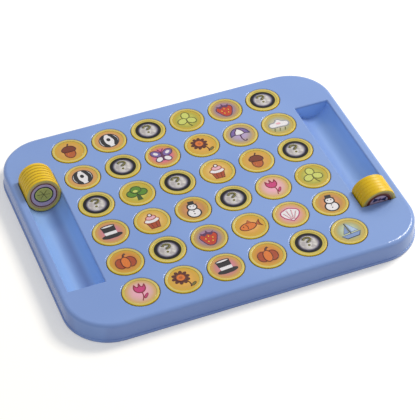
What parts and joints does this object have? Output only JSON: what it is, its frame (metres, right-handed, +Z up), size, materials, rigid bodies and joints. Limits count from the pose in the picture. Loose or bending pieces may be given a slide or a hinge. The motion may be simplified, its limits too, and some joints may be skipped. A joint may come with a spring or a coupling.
{
  "type": "memory matching board game",
  "caption": "Plastic tray with a grid of shallow round pockets, loose picture chips that turn over in them, and a trough at each end for spare chips on edge.",
  "frame": {"origin": "on the table, under the middle of the tray", "axes": "+X along the rows of pockets, +Y from the front row to the back row, +Z up out of the deck"},
  "size_m": [0.2532, 0.1972, 0.0273],
  "materials": {
    "tray_plastic": "satin periwinkle blue moulded plastic",
    "chip_plastic": "glossy yellow moulded plastic with printed paper labels"
  },
  "bodies": {
    "tray": {"game_tray": "tray_plastic"},
    "chip_row_1_column_1": {"chip_row_1_column_1": "chip_plastic"},
    "chip_row_1_column_2": {"chip_row_1_column_2": "chip_plastic"},
    "chip_row_1_column_3": {"chip_row_1_column_3": "chip_plastic"},
    "chip_row_1_column_4": {"chip_row_1_column_4": "chip_plastic"},
    "chip_row_1_column_5": {"chip_row_1_column_5": "chip_plastic"},
    "chip_row_1_column_6": {"chip_row_1_column_6": "chip_plastic"},
    "chip_row_2_column_1": {"chip_row_2_column_1": "chip_plastic"},
    "chip_row_2_column_2": {"chip_row_2_column_2": "chip_plastic"},
    "chip_row_2_column_3": {"chip_row_2_column_3": "chip_plastic"},
    "chip_row_2_column_4": {"chip_row_2_column_4": "chip_plastic"},
    "chip_row_2_column_5": {"chip_row_2_column_5": "chip_plastic"},
    "chip_row_2_column_6": {"chip_row_2_column_6": "chip_plastic"},
    "chip_row_3_column_1": {"chip_row_3_column_1": "chip_plastic"},
    "chip_row_3_column_2": {"chip_row_3_column_2": "chip_plastic"},
    "chip_row_3_column_3": {"chip_row_3_column_3": "chip_plastic"},
    "chip_row_3_column_4": {"chip_row_3_column_4": "chip_plastic"},
    "chip_row_3_column_5": {"chip_row_3_column_5": "chip_plastic"},
    "chip_row_3_column_6": {"chip_row_3_column_6": "chip_plastic"},
    "chip_row_4_column_1": {"chip_row_4_column_1": "chip_plastic"},
    "chip_row_4_column_2": {"chip_row_4_column_2": "chip_plastic"},
    "chip_row_4_column_3": {"chip_row_4_column_3": "chip_plastic"},
    "chip_row_4_column_4": {"chip_row_4_column_4": "chip_plastic"},
    "chip_row_4_column_5": {"chip_row_4_column_5": "chip_plastic"},
    "chip_row_4_column_6": {"chip_row_4_column_6": "chip_plastic"},
    "chip_row_5_column_1": {"chip_row_5_column_1": "chip_plastic"},
    "chip_row_5_column_2": {"chip_row_5_column_2": "chip_plastic"},
    "chip_row_5_column_3": {"chip_row_5_column_3": "chip_plastic"},
    "chip_row_5_column_4": {"chip_row_5_column_4": "chip_plastic"},
    "chip_row_5_column_5": {"chip_row_5_column_5": "chip_plastic"},
    "chip_row_5_column_6": {"chip_row_5_column_6": "chip_plastic"},
    "chip_row_6_column_1": {"chip_row_6_column_1": "chip_plastic"},
    "chip_row_6_column_2": {"chip_row_6_column_2": "chip_plastic"},
    "chip_row_6_column_3": {"chip_row_6_column_3": "chip_plastic"},
    "chip_row_6_column_4": {"chip_row_6_column_4": "chip_plastic"},
    "chip_row_6_column_5": {"chip_row_6_column_5": "chip_plastic"},
    "chip_row_6_column_6": {"chip_row_6_column_6": "chip_plastic"},
    "left_trough_chip_1": {"left_trough_chip_1": "chip_plastic"},
    "left_trough_chip_2": {"left_trough_chip_2": "chip_plastic"},
    "left_trough_chip_3": {"left_trough_chip_3": "chip_plastic"},
    "left_trough_chip_4": {"left_trough_chip_4": "chip_plastic"},
    "left_trough_chip_5": {"left_trough_chip_5": "chip_plastic"},
    "left_trough_chip_6": {"left_trough_chip_6": "chip_plastic"},
    "left_trough_chip_7": {"left_trough_chip_7": "chip_plastic"},
    "right_trough_chip_1": {"right_trough_chip_1": "chip_plastic"},
    "right_trough_chip_2": {"right_trough_chip_2": "chip_plastic"},
    "right_trough_chip_3": {"right_trough_chip_3": "chip_plastic"},
    "right_trough_chip_4": {"right_trough_chip_4": "chip_plastic"},
    "right_trough_chip_5": {"right_trough_chip_5": "chip_plastic"},
    "right_trough_chip_6": {"right_trough_chip_6": "chip_plastic"}
  },
  "joints": [
    {"name": "chip_row_1_column_1_lift", "type": "slide", "parent": "tray", "child": "chip_row_1_column_1", "axis": [0, 0, 1], "range_m": [0, 0.04]},
    {"name": "chip_row_1_column_2_lift", "type": "slide", "parent": "tray", "child": "chip_row_1_column_2", "axis": [0, 0, 1], "range_m": [0, 0.04]},
    {"name": "chip_row_1_column_3_lift", "type": "slide", "parent": "tray", "child": "chip_row_1_column_3", "axis": [0, 0, 1], "range_m": [0, 0.04]},
    {"name": "chip_row_1_column_4_lift", "type": "slide", "parent": "tray", "child": "chip_row_1_column_4", "axis": [0, 0, 1], "range_m": [0, 0.04]},
    {"name": "chip_row_1_column_5_lift", "type": "slide", "parent": "tray", "child": "chip_row_1_column_5", "axis": [0, 0, 1], "range_m": [0, 0.04]},
    {"name": "chip_row_1_column_6_lift", "type": "slide", "parent": "tray", "child": "chip_row_1_column_6", "axis": [0, 0, 1], "range_m": [0, 0.04]},
    {"name": "chip_row_2_column_1_lift", "type": "slide", "parent": "tray", "child": "chip_row_2_column_1", "axis": [0, 0, 1], "range_m": [0, 0.04]},
    {"name": "chip_row_2_column_2_lift", "type": "slide", "parent": "tray", "child": "chip_row_2_column_2", "axis": [0, 0, 1], "range_m": [0, 0.04]},
    {"name": "chip_row_2_column_3_lift", "type": "slide", "parent": "tray", "child": "chip_row_2_column_3", "axis": [0, 0, 1], "range_m": [0, 0.04]},
    {"name": "chip_row_2_column_4_lift", "type": "slide", "parent": "tray", "child": "chip_row_2_column_4", "axis": [0, 0, 1], "range_m": [0, 0.04]},
    {"name": "chip_row_2_column_5_lift", "type": "slide", "parent": "tray", "child": "chip_row_2_column_5", "axis": [0, 0, 1], "range_m": [0, 0.04]},
    {"name": "chip_row_2_column_6_lift", "type": "slide", "parent": "tray", "child": "chip_row_2_column_6", "axis": [0, 0, 1], "range_m": [0, 0.04]},
    {"name": "chip_row_3_column_1_lift", "type": "slide", "parent": "tray", "child": "chip_row_3_column_1", "axis": [0, 0, 1], "range_m": [0, 0.04]},
    {"name": "chip_row_3_column_2_lift", "type": "slide", "parent": "tray", "child": "chip_row_3_column_2", "axis": [0, 0, 1], "range_m": [0, 0.04]},
    {"name": "chip_row_3_column_3_lift", "type": "slide", "parent": "tray", "child": "chip_row_3_column_3", "axis": [0, 0, 1], "range_m": [0, 0.04]},
    {"name": "chip_row_3_column_4_lift", "type": "slide", "parent": "tray", "child": "chip_row_3_column_4", "axis": [0, 0, 1], "range_m": [0, 0.04]},
    {"name": "chip_row_3_column_5_lift", "type": "slide", "parent": "tray", "child": "chip_row_3_column_5", "axis": [0, 0, 1], "range_m": [0, 0.04]},
    {"name": "chip_row_3_column_6_lift", "type": "slide", "parent": "tray", "child": "chip_row_3_column_6", "axis": [0, 0, 1], "range_m": [0, 0.04]},
    {"name": "chip_row_4_column_1_lift", "type": "slide", "parent": "tray", "child": "chip_row_4_column_1", "axis": [0, 0, 1], "range_m": [0, 0.04]},
    {"name": "chip_row_4_column_2_lift", "type": "slide", "parent": "tray", "child": "chip_row_4_column_2", "axis": [0, 0, 1], "range_m": [0, 0.04]},
    {"name": "chip_row_4_column_3_lift", "type": "slide", "parent": "tray", "child": "chip_row_4_column_3", "axis": [0, 0, 1], "range_m": [0, 0.04]},
    {"name": "chip_row_4_column_4_lift", "type": "slide", "parent": "tray", "child": "chip_row_4_column_4", "axis": [0, 0, 1], "range_m": [0, 0.04]},
    {"name": "chip_row_4_column_5_lift", "type": "slide", "parent": "tray", "child": "chip_row_4_column_5", "axis": [0, 0, 1], "range_m": [0, 0.04]},
    {"name": "chip_row_4_column_6_lift", "type": "slide", "parent": "tray", "child": "chip_row_4_column_6", "axis": [0, 0, 1], "range_m": [0, 0.04]},
    {"name": "chip_row_5_column_1_lift", "type": "slide", "parent": "tray", "child": "chip_row_5_column_1", "axis": [0, 0, 1], "range_m": [0, 0.04]},
    {"name": "chip_row_5_column_2_lift", "type": "slide", "parent": "tray", "child": "chip_row_5_column_2", "axis": [0, 0, 1], "range_m": [0, 0.04]},
    {"name": "chip_row_5_column_3_lift", "type": "slide", "parent": "tray", "child": "chip_row_5_column_3", "axis": [0, 0, 1], "range_m": [0, 0.04]},
    {"name": "chip_row_5_column_4_lift", "type": "slide", "parent": "tray", "child": "chip_row_5_column_4", "axis": [0, 0, 1], "range_m": [0, 0.04]},
    {"name": "chip_row_5_column_5_lift", "type": "slide", "parent": "tray", "child": "chip_row_5_column_5", "axis": [0, 0, 1], "range_m": [0, 0.04]},
    {"name": "chip_row_5_column_6_lift", "type": "slide", "parent": "tray", "child": "chip_row_5_column_6", "axis": [0, 0, 1], "range_m": [0, 0.04]},
    {"name": "chip_row_6_column_1_lift", "type": "slide", "parent": "tray", "child": "chip_row_6_column_1", "axis": [0, 0, 1], "range_m": [0, 0.04]},
    {"name": "chip_row_6_column_2_lift", "type": "slide", "parent": "tray", "child": "chip_row_6_column_2", "axis": [0, 0, 1], "range_m": [0, 0.04]},
    {"name": "chip_row_6_column_3_lift", "type": "slide", "parent": "tray", "child": "chip_row_6_column_3", "axis": [0, 0, 1], "range_m": [0, 0.04]},
    {"name": "chip_row_6_column_4_lift", "type": "slide", "parent": "tray", "child": "chip_row_6_column_4", "axis": [0, 0, 1], "range_m": [0, 0.04]},
    {"name": "chip_row_6_column_5_lift", "type": "slide", "parent": "tray", "child": "chip_row_6_column_5", "axis": [0, 0, 1], "range_m": [0, 0.04]},
    {"name": "chip_row_6_column_6_lift", "type": "slide", "parent": "tray", "child": "chip_row_6_column_6", "axis": [0, 0, 1], "range_m": [0, 0.04]},
    {"name": "left_trough_chip_1_lift", "type": "slide", "parent": "tray", "child": "left_trough_chip_1", "axis": [0, 0.1736, 0.9848], "range_m": [0, 0.04]},
    {"name": "left_trough_chip_2_lift", "type": "slide", "parent": "tray", "child": "left_trough_chip_2", "axis": [0, 0.1736, 0.9848], "range_m": [0, 0.04]},
    {"name": "left_trough_chip_3_lift", "type": "slide", "parent": "tray", "child": "left_trough_chip_3", "axis": [0, 0.1736, 0.9848], "range_m": [0, 0.04]},
    {"name": "left_trough_chip_4_lift", "type": "slide", "parent": "tray", "child": "left_trough_chip_4", "axis": [0, 0.1736, 0.9848], "range_m": [0, 0.04]},
    {"name": "left_trough_chip_5_lift", "type": "slide", "parent": "tray", "child": "left_trough_chip_5", "axis": [0, 0.1736, 0.9848], "range_m": [0, 0.04]},
    {"name": "left_trough_chip_6_lift", "type": "slide", "parent": "tray", "child": "left_trough_chip_6", "axis": [0, 0.1736, 0.9848], "range_m": [0, 0.04]},
    {"name": "left_trough_chip_7_lift", "type": "slide", "parent": "tray", "child": "left_trough_chip_7", "axis": [0, 0.1736, 0.9848], "range_m": [0, 0.04]},
    {"name": "right_trough_chip_1_lift", "type": "slide", "parent": "tray", "child": "right_trough_chip_1", "axis": [0, -0.1736, 0.9848], "range_m": [0, 0.04]},
    {"name": "right_trough_chip_2_lift", "type": "slide", "parent": "tray", "child": "right_trough_chip_2", "axis": [0, -0.1736, 0.9848], "range_m": [0, 0.04]},
    {"name": "right_trough_chip_3_lift", "type": "slide", "parent": "tray", "child": "right_trough_chip_3", "axis": [0, -0.1736, 0.9848], "range_m": [0, 0.04]},
    {"name": "right_trough_chip_4_lift", "type": "slide", "parent": "tray", "child": "right_trough_chip_4", "axis": [0, -0.1736, 0.9848], "range_m": [0, 0.04]},
    {"name": "right_trough_chip_5_lift", "type": "slide", "parent": "tray", "child": "right_trough_chip_5", "axis": [0, -0.1736, 0.9848], "range_m": [0, 0.04]},
    {"name": "right_trough_chip_6_lift", "type": "slide", "parent": "tray", "child": "right_trough_chip_6", "axis": [0, -0.1736, 0.9848], "range_m": [0, 0.04]}
  ]
}
